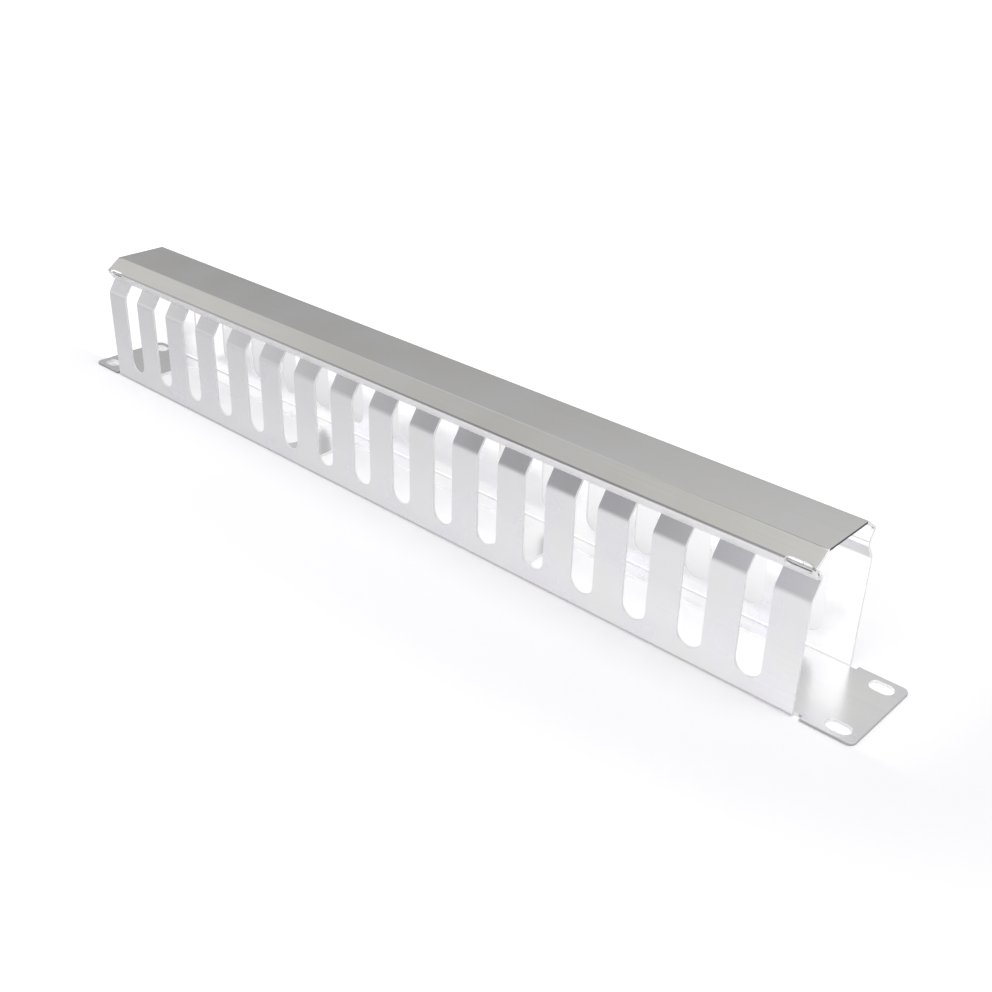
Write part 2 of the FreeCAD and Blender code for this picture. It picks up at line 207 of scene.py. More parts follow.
def satin_zinc(name, warm, cool, roughness, crease=None):
    """Bright zinc plating on cold rolled sheet. crease is a sharp fold's (row, width, gauge), where shade and
    a highlight are painted.
    """
    finish = bpy.data.materials.new(name)
    finish.use_nodes = True
    tree = finish.node_tree
    shader = tree.nodes["Principled BSDF"]
    shader.inputs["Metallic"].default_value = 1.0

    place = blank_place_of(tree)
    cloud = noise_at(tree, place, (CLOUD_SIZE, CLOUD_SIZE, CLOUD_SIZE), 2.0)
    grain = noise_at(tree, place, (GRAIN_LENGTH, GRAIN_WIDTH, GRAIN_WIDTH), 0.0)
    share = step_up(tree, cloud, *CLOUD_EDGES)
    tint = add(tree, "ShaderNodeMix", {"Factor": share, 6: colour(warm), 7: colour(cool)},
               data_type="RGBA").outputs[2]
    tint = add(tree, "ShaderNodeMix", {"Factor": grain, 6: tint, 7: colour(GRAIN_TONE)},
               data_type="RGBA", blend_type="MULTIPLY").outputs[2]
    smoothest = roughness - CLOUD_ROUGHNESS / 2
    rough = add(tree, "ShaderNodeMath", {0: share, 1: CLOUD_ROUGHNESS, 2: smoothest},
                operation="MULTIPLY_ADD").outputs[0]
    if crease:
        tint, rough, metal = crease_shade_and_highlight(tree, place, crease, tint, rough)
        tree.links.new(metal, shader.inputs["Metallic"])

    tree.links.new(tint, shader.inputs["Base Color"])
    tree.links.new(rough, shader.inputs["Roughness"])
    bump = add(tree, "ShaderNodeBump", {"Height": grain, "Strength": GRAIN_BUMP, "Distance": GRAIN_DEPTH})
    tree.links.new(bump.outputs[0], shader.inputs["Normal"])
    return finish


duct_finish = satin_zinc("satin_zinc_duct_sheet", warm="#F1F1F0", cool="#F0F0F3", roughness=0.26)
print("sheet finish:", duct_finish.name)

# %% [markdown]
# Punches and shears cut the sheet, and the cut face is never as smooth as the sheet: a burnished band where
# the tool slid past, then a torn, matt band that scatters light and looks white. Short streaks across the
# thickness, about 0.3 mm apart, stand for both. Some cut faces get a darker tone instead, which is painted
# shade, so each piece says where its own shaded edges lie.

# %% Cut edge finish
STREAK_WIDTH, STREAK_LENGTH = 0.3 * MM, 2 * MM
STREAK_TONES, STREAK_ROUGHNESS = ("#F6F6F6", "#FFFFFF"), (0.4, 0.6)
STREAK_BUMP, STREAK_DEPTH = 0.3, 0.03 * MM
# The second metal value is for the cut faces that get painted shade.
PUNCHED_METAL, SHADED_EDGE_METAL = 0.3, 0.8


def sheared_edge(name, painted_shade_tone, where):
    """Cut steel, white, with painted shade of the given tone on the faces that where picks out."""
    finish = bpy.data.materials.new(name)
    finish.use_nodes = True
    tree = finish.node_tree
    shader = tree.nodes["Principled BSDF"]
    place = blank_place_of(tree)
    streak = noise_at(tree, place, (STREAK_WIDTH, STREAK_WIDTH, STREAK_LENGTH), 2.0)
    low, high = (colour(tone) for tone in STREAK_TONES)
    tone = add(tree, "ShaderNodeMix", {"Factor": streak, 6: low, 7: high}, data_type="RGBA").outputs[2]
    along, across, _ = places_from_middle(tree, place)
    # How much painted shade this cut face gets.
    painted_shade_share = where(tree, along, across)
    tone = add(tree, "ShaderNodeMix", {"Factor": painted_shade_share, 6: tone, 7: colour(painted_shade_tone)},
               data_type="RGBA").outputs[2]
    metal = add(tree, "ShaderNodeMapRange", {
        "Value": painted_shade_share, "To Min": PUNCHED_METAL, "To Max": SHADED_EDGE_METAL})
    rough = add(tree, "ShaderNodeMapRange", {
        "Value": streak, "To Min": STREAK_ROUGHNESS[0], "To Max": STREAK_ROUGHNESS[1]})
    bump = add(tree, "ShaderNodeBump", {"Height": streak, "Strength": STREAK_BUMP, "Distance": STREAK_DEPTH})
    tree.links.new(tone, shader.inputs["Base Color"])
    tree.links.new(metal.outputs[0], shader.inputs["Metallic"])
    tree.links.new(rough.outputs[0], shader.inputs["Roughness"])
    tree.links.new(bump.outputs[0], shader.inputs["Normal"])
    return finish


print("streaks on a cut edge are", round(STREAK_WIDTH / MM, 1), "mm apart")

# %% [markdown]
# The folds are described by the line down the middle of the sheet's thickness, seen from the end.
# It is drawn with sharp corners from the outside sizes, then moved in by half the gauge. The
# rounding comes later, in the tree that folds.

# %% Sizes of the duct
GAUGE = 1.2 * MM
INNER_RADIUS = 1.0 * MM
FOLD_RADIUS = INNER_RADIUS + GAUGE / 2
FOLD_STEPS = 8
RACK_WIDTH = 482.6 * MM
EAR_LENGTH = 24.3 * MM
PANEL_HEIGHT = 43.6 * MM
WALL_HEIGHT = 49.2 * MM
TIP_LENGTH, TIP_SLOPE = 8.8 * MM, math.radians(56.5)
HOOK_LENGTH, CLIP_SLOPE = 3.6 * MM, math.radians(57.0)
FINGER_WIDTH = 14.7 * MM
SLOT_COUNT = 16
SLOT_FLOOR = 7.8 * MM
DUCT_LENGTH = RACK_WIDTH - 2 * EAR_LENGTH
PITCH = (DUCT_LENGTH - FINGER_WIDTH) / SLOT_COUNT
SLOT_RADIUS = (PITCH - FINGER_WIDTH) / 2
print("finger pitch", round(PITCH / MM, 3), "mm, slot width", round(2 * SLOT_RADIUS / MM, 3), "mm")

# %% [markdown]
# The end view is a short list of points, so a few helpers draw it: one walks a length along a
# slope, one adds the mirror image, one finds the turns and one moves the line sideways. A curve
# could be drawn by hand instead, but it wouldn't follow a change of size.

# %% Helpers: lines in the end view


def beyond(point, length, slope):
    """The point a length away along a slope, in the end view."""
    return (point[0] + length * math.cos(slope), point[1] + length * math.sin(slope))


def both_sides(points):
    """An end view of one side made whole: the mirror image first, so that travel is left to right."""
    return [(-across, up) for across, up in reversed(points)] + points


def turns_of(points):
    """Heading of each straight and the turn at each corner between them."""
    headings = []
    for first, last in zip(points, points[1:]):
        headings.append(math.atan2(last[1] - first[1], last[0] - first[0]))
    turns = [math.remainder(after - before, math.tau) for before, after in zip(headings, headings[1:])]
    return headings, turns


def moved_sideways(points, distance):
    """The line moved to the left of its travel, its corners kept sharp."""
    headings, turns = turns_of(points)
    turns = [0.0] + turns + [0.0]
    headings = headings + headings[-1:]
    moved = []
    for point, heading, bend in zip(points, headings, turns):
        aim = heading - bend / 2
        reach = distance / math.cos(bend / 2)
        moved.append((point[0] - reach * math.sin(aim), point[1] + reach * math.cos(aim)))
    return moved


print("10 mm up a slope of 30 degrees ends at", [round(part, 2) for part in beyond((0, 0), 10, math.pi / 6)])

# %% [markdown]
# The blank needs rows of points where it will bend: many in a sharp fold, two at a slight corner
# and none on a flat. They are worked out from the line of the folds, because a bend of a given
# angle and radius uses up a known length of sheet. Even rows would be simpler, but folds this
# tight would want far more of them.

# %% Helper: rows across the blank
SLIGHT_TURN = math.radians(12)


def rows_across(points, radius):
    """Where rows of points are needed across the flat blank: at the ends, and closely in each fold."""
    _, turns = turns_of(points)
    lengths = [math.dist(first, last) for first, last in zip(points, points[1:])]
    rows = [0.0]
    trimmed = 0.0
    for length, bend in zip(lengths, turns + [0.0]):
        trim = radius * math.tan(abs(bend) / 2)
        rows.append(rows[-1] + length - trimmed - trim)
        start = rows[-1]
        steps = FOLD_STEPS if abs(bend) > SLIGHT_TURN else 1
        if bend:
            rows += [start + radius * abs(bend) * step / steps for step in range(1, steps + 1)]
        trimmed = trim
    return [row - rows[-1] / 2 for row in rows]


print("a sharp fold gets", FOLD_STEPS + 1, "rows")

# %% [markdown]
# A press brake sets each fold to a radius, and the fingers turn in over a gentler one. The folding
# rule rounds every corner alike, so the gentle bend is first cut into four slight corners that
# touch its arc. Rounding each corner by its own radius would be another way, but then every point
# of the line would have to carry one.

# %% Line of the folds
SHOULDER_RADIUS, SHOULDER_STEPS = 5 * MM, 4


def eased(before, corner, after, radius, count):
    """A left turn made gentle: corners of a line that touches an arc of the radius, count of them."""
    (start, _), (bend,) = turns_of([before, corner, after])
    touching = beyond(corner, -radius * math.tan(bend / 2), start)
    centre = beyond(touching, radius, start + math.pi / 2)
    reach = radius / math.cos(bend / 2 / count)
    aims = [start - math.pi / 2 + bend * (step + 0.5) / count for step in range(count)]
    return [beyond(centre, reach, aim) for aim in aims]


foot = (PANEL_HEIGHT / 2, 0.0)
shoulder = (PANEL_HEIGHT / 2, WALL_HEIGHT)
waist = beyond(shoulder, TIP_LENGTH, math.pi - TIP_SLOPE)
hook_end = beyond(waist, HOOK_LENGTH, CLIP_SLOPE)
shoulder_bend = eased(foot, shoulder, waist, SHOULDER_RADIUS, SHOULDER_STEPS)
duct_line = moved_sideways(both_sides([foot, *shoulder_bend, waist, hook_end]), GAUGE / 2)
duct_rows = rows_across(duct_line, FOLD_RADIUS)
print("duct blank:", round((duct_rows[-1] - duct_rows[0]) / MM, 2), "mm across,", len(duct_rows), "rows")

# %% [markdown]
# A blank is drawn flat, as faces from outlines, and an outline is made of corners and parts of
# circles. BMesh builds such a piece from its points in a few lines. Drawing it in Edit Mode would
# give the same mesh, but it couldn't be run again with other sizes.

# %% Helpers: flat pieces and their outlines


def flat_piece(name, outlines):
    """An object with one flat face for each outline of (along, across) points."""
    work = bmesh.new()
    for outline in outlines:
        work.faces.new([work.verts.new((along, across, 0.0)) for along, across in outline])
    bmesh.ops.remove_doubles(work, verts=work.verts, dist=0.001 * MM)
    mesh = bpy.data.meshes.new(name)
    work.to_mesh(mesh)
    work.free()
    piece = bpy.data.objects.new(name, mesh)
    bpy.context.scene.collection.objects.link(piece)
    return piece


def patch(left, right, low, high):
    return [(left, low), (right, low), (right, high), (left, high)]


def patches(left, right, rows):
    return [patch(left, right, low, high) for low, high in zip(rows, rows[1:])]


def round_part(centre, radius, start, end, steps):
    """Points round part of a circle, angles in degrees."""
    angles = [math.radians(start + (end - start) * step / steps) for step in range(steps + 1)]
    return [beyond(centre, radius, angle) for angle in angles]


print("a quarter circle in 8 steps has", len(round_part((0, 0), 1, 0, 90, 8)), "points")

# %% [markdown]
# A comb wall repeats one bay: half a finger, a slot with a round floor, half a finger. Only one
# bay is drawn, flat, as a few faces whose rows lie where the folds will be. Sixteen copies of it
# and a strip at each end make a wall. Modelling the wall whole would hide that rule, and cutting
# the slots with booleans would leave long thin triangles at every fold.

# %% Flat bay and end strip
SLOT_STEPS = 24
side_rows = [row for row in duct_rows if row > 0]
foot_rows = side_rows[:FOLD_STEPS + 1]
wall_start = foot_rows[-1]
slot_centre = wall_start + SLOT_FLOOR + SLOT_RADIUS - GAUGE / 2 - FOLD_RADIUS
finger_rows = [slot_centre] + side_rows[FOLD_STEPS + 1:]

half = PITCH / 2
slot_floor_points = round_part((0, slot_centre), SLOT_RADIUS, 0, -180, SLOT_STEPS)
below_slot = [(-half, wall_start), (half, wall_start), (half, slot_centre)]
below_slot += slot_floor_points + [(-half, slot_centre)]
bay = flat_piece("comb_bay", patches(-half, half, foot_rows) + [below_slot]
                 + patches(-half, -SLOT_RADIUS, finger_rows) + patches(SLOT_RADIUS, half, finger_rows))
end_strip = flat_piece("comb_end", patches(0, FINGER_WIDTH / 2, foot_rows + finger_rows))
print("a bay has", len(bay.data.polygons), "faces; a wall has", SLOT_COUNT, "bays")

# %% [markdown]
# The back of the duct is flat, and runs on past the walls as the two rack ears. It is the same in
# all four quarters, so one quarter is drawn, as three faces whose edges run through the middle of
# each window and rack slot. A curve filled round its holes would be quicker to write, but it
# makes long thin triangles, and the bevel that comes later turns those inside out.

# %% Flat quarter of the back


def rounded_half(centre, length, height, corner, steps):
    """The half of a rounded box that lies on the lower side of its centre line, from right to left."""
    reach, drop = length / 2, height / 2
    right = round_part((centre[0] + reach - corner, centre[1] - drop + corner), corner, 0, -90, steps)
    left = round_part((centre[0] - reach + corner, centre[1] - drop + corner), corner, -90, -180, steps)
    ends = [(centre[0] + reach, centre[1])], [(centre[0] - reach, centre[1])]
    return ends[0] + right + left + ends[1]


def distinct(points):
    """The outline without points that repeat the one before."""
    pairs = zip(points, points[-1:] + points[:-1])
    return [point for point, last in pairs if math.dist(point, last) > 0.002 * MM]


EAR_CORNER, CORNER_STEPS = 3.0 * MM, 8
RELIEF_LENGTH = 3.0 * MM
# Windows and rack slots are given by their length, height and corner radius.
WINDOW, WINDOW_STEPS = (120 * MM, 25 * MM, 6 * MM), 10
WINDOW_PITCH = 140 * MM
RACK_SLOT, RACK_SLOT_STEPS = (10 * MM, 6.5 * MM, 3.25 * MM), 12
SLOT_ALONG, SLOT_ACROSS = 465.1 / 2 * MM, -31.75 / 2 * MM

fold_start = foot_rows[0]
ear_end, ear_side = RACK_WIDTH / 2, -PANEL_HEIGHT / 2
relief_end = DUCT_LENGTH / 2 + RELIEF_LENGTH
bay_edges = [number * PITCH for number in range(SLOT_COUNT // 2 + 1)]
long_edge = [(along, -fold_start) for along in [*bay_edges, DUCT_LENGTH / 2, relief_end]]
end_window = rounded_half((WINDOW_PITCH, 0), *WINDOW, WINDOW_STEPS)
middle_window = [point for point in rounded_half((0, 0), *WINDOW, WINDOW_STEPS) if point[0] >= 0]
body_quarter = long_edge + [(relief_end, SLOT_ACROSS), (relief_end, 0)] + end_window
body_quarter += middle_window + [(0, -WINDOW[1] / 2)]

slot_below = rounded_half((SLOT_ALONG, SLOT_ACROSS), *RACK_SLOT, RACK_SLOT_STEPS)
slot_above = [(along, 2 * SLOT_ACROSS - across) for along, across in reversed(slot_below)]
corner_centre = (ear_end - EAR_CORNER, ear_side + EAR_CORNER)
ear_corner = round_part(corner_centre, EAR_CORNER, -90, 0, CORNER_STEPS)
ear_rim = [(relief_end, SLOT_ACROSS), (relief_end, -fold_start), (relief_end, ear_side)] + ear_corner
ear_rim += [(ear_end, SLOT_ACROSS)] + slot_below
ear_middle = [(relief_end, SLOT_ACROSS)] + slot_above
ear_middle += [(ear_end, SLOT_ACROSS), (ear_end, 0), (relief_end, 0)]
outlines = [distinct(outline) for outline in (body_quarter, ear_rim, ear_middle)]
plate_quarter = flat_piece("plate_quarter", outlines)
print("the plate's quarter has", len(plate_quarter.data.vertices), "points")

# %% [markdown]
# The line of the folds is a curve object of straight runs, which the folding rule rounds off.

# %% Fold line


def fold_line_object(name, points):
    """A curve object through the (across, up) points of an end view."""
    data = bpy.data.curves.new(name, "CURVE")
    data.dimensions = "3D"
    spline = data.splines.new("POLY")
    spline.points.add(len(points) - 1)
    for place, (across, up) in zip(spline.points, points):
        place.co = (0.0, across, up, 1.0)
    piece = bpy.data.objects.new(name, data)
    bpy.context.scene.collection.objects.link(piece)
    return piece


fold_line = fold_line_object("duct_fold_line", duct_line)
print("the duct's fold line has", len(duct_line), "corners")

# %% [markdown]
# Every geometry tree starts alike, with its named inputs and one geometry output, so one helper
# makes that start. The inputs could be drawn in the editor, but here they can be read.

# %% Helper: start a geometry tree


def new_tree(name, sockets):
    """A geometry tree with named inputs, given as name: kind, and one geometry output."""
    tree = bpy.data.node_groups.new(name, "GeometryNodeTree")
    for label, kind in sockets.items():
        tree.interface.new_socket(label, in_out="INPUT", socket_type="NodeSocket" + kind)
    tree.interface.new_socket("Geometry", in_out="OUTPUT", socket_type="NodeSocketGeometry")
    given = tree.nodes.new("NodeGroupInput").outputs
    return tree, given


# %% [markdown]
# The fold is one rule, so it is a node group of its own, and both pieces of sheet use it. The
# blank gets its thickness first, while it is still flat. The faces that this makes round its rim
# are the punched and sheared ones, so they are marked there for their own finish, and each point
# stores its place in the blank. Solidify could thicken the folded sheet later, but its two sides
# would then share one place in the blank.

# %% Fold group: thickness and marks
SAME_POINT = 0.005 * MM
FOLD_INPUTS = {"Fold line": "Object", "Fold radius": "Float", "Gauge": "Float", "Flat beyond": "Float",
               "Sheet finish": "Material", "Edge finish": "Material"}
fold, given = new_tree("fold_the_blank", {"Blank": "Geometry", **FOLD_INPUTS})

raised = add(fold, "GeometryNodeExtrudeMesh", {"Mesh": given["Blank"], "Offset": (0, 0, 1),
                                               "Offset Scale": given["Gauge"], "Individual": False})
rim_marked = add(fold, "GeometryNodeStoreNamedAttribute", {
    "Geometry": raised.outputs["Mesh"], "Name": "punched_rim", "Value": raised.outputs["Side"]},
    data_type="BOOLEAN", domain="FACE")
underside = add(fold, "GeometryNodeFlipFaces", {"Mesh": given["Blank"]})
solid = add(fold, "GeometryNodeJoinGeometry", {0: [rim_marked.outputs[0], underside.outputs[0]]})
solid = add(fold, "GeometryNodeMergeByDistance", {"Geometry": solid.outputs[0], "Distance": SAME_POINT})
place = add(fold, "GeometryNodeInputPosition").outputs[0]
placed = add(fold, "GeometryNodeStoreNamedAttribute", {
    "Geometry": solid.outputs[0], "Name": BLANK_PLACE, "Value": place},
    data_type="FLOAT_VECTOR", domain="POINT")
print("thickness and marks:", len(fold.nodes), "nodes")

# %% [markdown]
# A point of the blank has a place along the sheet, a place across it and a place in its
# thickness. Folding keeps the first, walks the second along the rounded line of the folds, and
# sets the third square to that line. A chain of bend modifiers could do it too, one for each
# fold, but the line of the folds says it all at once.

# %% Fold group: the rule of the fold
ROUND_POINTS = 24
parts = add(fold, "ShaderNodeSeparateXYZ", {0: place})
line = add(fold, "GeometryNodeObjectInfo", {"Object": given["Fold line"]})
line = add(fold, "GeometryNodeFilletCurve", {
    "Curve": line.outputs["Geometry"], "Count": ROUND_POINTS, "Radius": given["Fold radius"],
    "Limit Radius": True}, mode="POLY")
length = add(fold, "GeometryNodeCurveLength", {0: line.outputs[0]})
walked = add(fold, "ShaderNodeMath", {0: length.outputs[0], 1: 0.5, 2: parts.outputs["Y"]},
             operation="MULTIPLY_ADD")
sample = add(fold, "GeometryNodeSampleCurve", {"Curves": line.outputs[0], "Length": walked.outputs[0]},
             mode="LENGTH")
square = add(fold, "ShaderNodeVectorMath", {0: (1, 0, 0), 1: sample.outputs["Tangent"]},
             operation="CROSS_PRODUCT")
depth = add(fold, "ShaderNodeMath", {0: given["Gauge"], 1: -0.5, 2: parts.outputs["Z"]},
            operation="MULTIPLY_ADD")
inward = add(fold, "ShaderNodeVectorMath", {0: square.outputs[0], "Scale": depth.outputs[0]},
             operation="SCALE")
along = add(fold, "ShaderNodeCombineXYZ", {"X": parts.outputs["X"]})
folded = add(fold, "ShaderNodeVectorMath", {0: sample.outputs["Position"], 1: inward.outputs[0]},
             operation="ADD")
folded = add(fold, "ShaderNodeVectorMath", {0: folded.outputs[0], 1: along.outputs[0]}, operation="ADD")
print("with the fold:", len(fold.nodes), "nodes")

# %% [markdown]
# Where the blank runs on as an ear, it stays flat. Then the sheet gets its plated finish and the
# marked rim the finish of a cut edge, so that a change of size needs no faces picked again.

# %% Fold group: flat ears and finishes
distance = add(fold, "ShaderNodeMath", {0: parts.outputs["X"]}, operation="ABSOLUTE")
on_ear = add(fold, "FunctionNodeCompare", {0: distance.outputs[0], 1: given["Flat beyond"]},
             operation="GREATER_THAN", data_type="FLOAT")
final = add(fold, "GeometryNodeSwitch", {
    "Switch": on_ear.outputs[0], "False": folded.outputs[0], "True": place}, input_type="VECTOR")
shaped = add(fold, "GeometryNodeSetPosition", {"Geometry": placed.outputs[0], "Position": final.outputs[0]})
shaped = add(fold, "GeometryNodeRealizeInstances", {0: shaped.outputs[0]})
rim = add(fold, "GeometryNodeInputNamedAttribute", {"Name": "punched_rim"}, data_type="BOOLEAN")
shaped = add(fold, "GeometryNodeSetMaterial", {
    "Geometry": shaped.outputs[0], "Material": given["Sheet finish"]})
shaped = add(fold, "GeometryNodeSetMaterial", {
    "Geometry": shaped.outputs[0], "Selection": rim.outputs["Attribute"], "Material": given["Edge finish"]})
add(fold, "NodeGroupOutput", {0: shaped.outputs[0]})
print("folding group:", len(fold.nodes), "nodes")

# %% [markdown]
# A blank is laid out from rows and mirror images, and then handed to the folding group. An Array
# and a Mirror modifier could lay it out, but a tree keeps the count and the pitch as its inputs.

# %% Helpers: rows, mirror images and the fold


def row_of(tree, piece, count, pitch):
    """Copies of a piece in a row along X, centred."""
    gaps = add(tree, "ShaderNodeMath", {0: count, 1: 1.0}, operation="SUBTRACT")
    reach = add(tree, "ShaderNodeMath", {0: gaps.outputs[0], 1: pitch}, operation="MULTIPLY")
    start = add(tree, "ShaderNodeMath", {0: reach.outputs[0], 1: -0.5}, operation="MULTIPLY")
    start = add(tree, "ShaderNodeCombineXYZ", {"X": start.outputs[0]})
    step = add(tree, "ShaderNodeCombineXYZ", {"X": pitch})
    row = add(tree, "GeometryNodeMeshLine", {"Count": count, "Start Location": start.outputs[0],
                                             "Offset": step.outputs[0]}, mode="OFFSET")
    made = add(tree, "GeometryNodeObjectInfo", {"Object": piece})
    copies = add(tree, "GeometryNodeInstanceOnPoints", {"Points": row.outputs[0],
                                                        "Instance": made.outputs["Geometry"]})
    return add(tree, "GeometryNodeRealizeInstances", {0: copies.outputs[0]}).outputs[0]


def mirrored(tree, geometry, scale):
    """A mirror image whose faces still point outwards."""
    turned = add(tree, "GeometryNodeTransform", {"Geometry": geometry, "Scale": scale})
    return add(tree, "GeometryNodeFlipFaces", {0: turned.outputs[0]}).outputs[0]


def folded_blank(tree, blank, given):
    """Pass a blank, and the tree's own inputs for the fold, to the folding group."""
    bent = add(tree, "GeometryNodeGroup", node_tree=fold)
    for label in FOLD_INPUTS:
        tree.links.new(given[label], bent.inputs[label])
    tree.links.new(blank, bent.inputs["Blank"])
    add(tree, "NodeGroupOutput", {0: bent.outputs[0]})


# %% [markdown]
# The duct's own tree sets the bays in a row, closes the ends, mirrors the wall for the other side
# and mirrors the plate's quarter both ways. Points that meet are merged, so that the blank is one
# sheet before it is folded.

# %% Tree for the comb duct
comb, given = new_tree("punched_comb_duct", {
    "Bay": "Object", "End strip": "Object", "Plate quarter": "Object", "Bays": "Int", "Pitch": "Float",
    **FOLD_INPUTS})
bays = row_of(comb, given["Bay"], given["Bays"], given["Pitch"])
wall_length = add(comb, "ShaderNodeMath", {0: given["Bays"], 1: given["Pitch"]}, operation="MULTIPLY")
end_place = add(comb, "ShaderNodeMath", {0: wall_length.outputs[0], 1: 0.5}, operation="MULTIPLY")
end_place = add(comb, "ShaderNodeCombineXYZ", {"X": end_place.outputs[0]})
end = add(comb, "GeometryNodeObjectInfo", {"Object": given["End strip"]})
end = add(comb, "GeometryNodeTransform", {
    "Geometry": end.outputs["Geometry"], "Translation": end_place.outputs[0]}).outputs[0]
wall = add(comb, "GeometryNodeJoinGeometry", {0: [bays, end, mirrored(comb, end, (-1, 1, 1))]}).outputs[0]

quarter = add(comb, "GeometryNodeObjectInfo", {"Object": given["Plate quarter"]}).outputs["Geometry"]
lower = add(comb, "GeometryNodeJoinGeometry", {0: [quarter, mirrored(comb, quarter, (-1, 1, 1))]}).outputs[0]
back = add(comb, "GeometryNodeJoinGeometry", {0: [lower, mirrored(comb, lower, (1, -1, 1))]}).outputs[0]

blank = add(comb, "GeometryNodeJoinGeometry", {0: [wall, mirrored(comb, wall, (1, -1, 1)), back]})
blank = add(comb, "GeometryNodeMergeByDistance", {"Geometry": blank.outputs[0], "Distance": SAME_POINT})
folded_blank(comb, blank.outputs[0], given)
print("duct tree:", len(comb.nodes), "nodes")

# %% [markdown]
# A finished piece is a plain mesh. The tree runs once as a modifier, its result is copied out,
# and the scraps it was made from are thrown away. A live modifier would also render, but a plain
# mesh can be measured, and it stays the same wherever it is taken.

# %% Helpers: run a tree


def run_tree(name, tree, values):
    """The mesh that a tree makes from the given inputs, as a new object."""
    piece = bpy.data.objects.new(name, bpy.data.meshes.new(name))
    bpy.context.scene.collection.objects.link(piece)
    modifier = piece.modifiers.new("build", "NODES")
    modifier.node_group = tree
    names = {item.name: item.identifier for item in tree.interface.items_tree if item.in_out == "INPUT"}
    for label, value in values.items():
        modifier[names[label]] = value
    return applied(piece)


def applied(piece):
    """Turn what the modifiers show into the object's own mesh."""
    bpy.context.view_layer.update()
    seen = piece.evaluated_get(bpy.context.evaluated_depsgraph_get())
    mesh = bpy.data.meshes.new_from_object(seen)
    piece.modifiers.clear()
    piece.data = mesh
    mesh.name = piece.name
    return piece


def discard(*scraps):
    for scrap in scraps:
        bpy.data.objects.remove(scrap)


# %% [markdown]
# A Bevel modifier takes the knife edge off the sheet: deburring leaves about a tenth of a
# millimetre of round on a real one, and that round is what catches the light along each cut.
# Weighted normals keep the flats flat beside it. The Bevel node of the shader is quicker, but it
# rounds only the shading, and the mesh would stay sharp.

# %% Helpers: finish a sheet
SHARP_EDGE = math.radians(40)


def deburred(piece, width):
    """Round the cut edges of a sheet slightly and shade its folds smoothly."""
    piece.data.shade_smooth()
    bevel = piece.modifiers.new("deburr", "BEVEL")
    bevel.width = width
    bevel.segments = 2
    bevel.limit_method = "ANGLE"
    bevel.angle_limit = SHARP_EDGE
    bevel.use_clamp_overlap = False
    normals = piece.modifiers.new("flats", "WEIGHTED_NORMAL")
    normals.weight = 90
    normals.keep_sharp = True
    return applied(piece)


def kept_inside(piece, node):
    """Press the few microns by which a bevel stands proud back into the CAD node's box, and print the fit."""
    low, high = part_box(node)
    corners = [vertex.co for vertex in piece.data.vertices]
    own = [edge(co[axis] for co in corners) for edge in (min, max) for axis in range(3)]
    for co in corners:
        for axis in range(3):
            co[axis] = min(max(co[axis], low[axis]), high[axis])
    gaps = [round((mine - theirs) / MM, 3) for mine, theirs in zip(own, [*low, *high])]
    print(piece.name, len(piece.data.polygons), "faces, box was off the CAD node's by", gaps, "mm")


print("an edge sharper than", round(math.degrees(SHARP_EDGE)), "degrees is deburred")

# %% [markdown]
# Now the duct is run and finished. The outer rim of its ears takes a darker tone, which is painted shade, and
# every other edge was punched and stays white. The rim is told by its place: it lies farther out than the
# rack slots. Faces could be picked by hand instead, but a place still holds when a size changes.

# %% Comb duct
SLOTS_END, SLOTS_SIDE = SLOT_ALONG + RACK_SLOT[0] / 2, RACK_SLOT[1] / 2 - SLOT_ACROSS
PAST_SLOTS_END, PAST_SLOTS_SIDE = (0.4 * MM, 0.6 * MM), (0.2 * MM, 0.3 * MM)
PAST_WALL = (1 * MM, 2 * MM)
DUCT_BURR = 0.12 * MM


def rim_of_ear(tree, along, across):
    """The outer edges of the ears, beyond the rack slots on both sides."""
    at_end = step_up(tree, along, *(SLOTS_END + past for past in PAST_SLOTS_END))
    at_side = step_up(tree, across, *(SLOTS_SIDE + past for past in PAST_SLOTS_SIDE))
    outer = add(tree, "ShaderNodeMath", {0: at_end, 1: at_side}, operation="MAXIMUM").outputs[0]
    on_ear = step_up(tree, along, *(DUCT_LENGTH / 2 + past for past in PAST_WALL))
    return add(tree, "ShaderNodeMath", {0: outer, 1: on_ear}, operation="MULTIPLY").outputs[0]


# The ears' outer rim gets the tone #B4B4B4, which is painted shade.
duct_edge = sheared_edge("sheared_edge_of_duct", "#B4B4B4", rim_of_ear)
duct = run_tree("comb_duct", comb, {
    "Bay": bay, "End strip": end_strip, "Plate quarter": plate_quarter, "Fold line": fold_line,
    "Bays": SLOT_COUNT, "Pitch": PITCH, "Fold radius": FOLD_RADIUS, "Gauge": GAUGE,
    "Flat beyond": (DUCT_LENGTH + RELIEF_LENGTH) / 2, "Sheet finish": duct_finish, "Edge finish": duct_edge})
duct = deburred(duct, DUCT_BURR)
discard(bay, end_strip, plate_quarter, fold_line)
kept_inside(duct, "duct_body")

# %% [markdown]
# The cover is one sheet too: a flat top, two sloping flanges and two lips that turn back under
# them. Each lip and flange make a V, and the hooked tips of the fingers lie in it, which is how
# the cover clips on. A small catch window is punched across the fold over each end finger.
# Its blank is a grid. The rows lie where the folds will be, and close together where a window
# crosses them, so that the window's round ends stay round once the sheet is bent.

# %% Sizes and fold line of the cover
COVER_GAUGE = 1.0 * MM
COVER_INNER_RADIUS = 0.4 * MM
COVER_RADIUS = COVER_INNER_RADIUS + COVER_GAUGE / 2
COVER_SHORT_OF_END = 0.5 * MM
COVER_LENGTH = DUCT_LENGTH - 2 * COVER_SHORT_OF_END
LIP_LENGTH = 5.8 * MM
LIP_SEAT = 0.8 * MM
FLANGE_LENGTH, FLANGE_SLOPE = 9.6 * MM, math.radians(35.7)
CLIP_CLEARANCE = 0.3 * MM

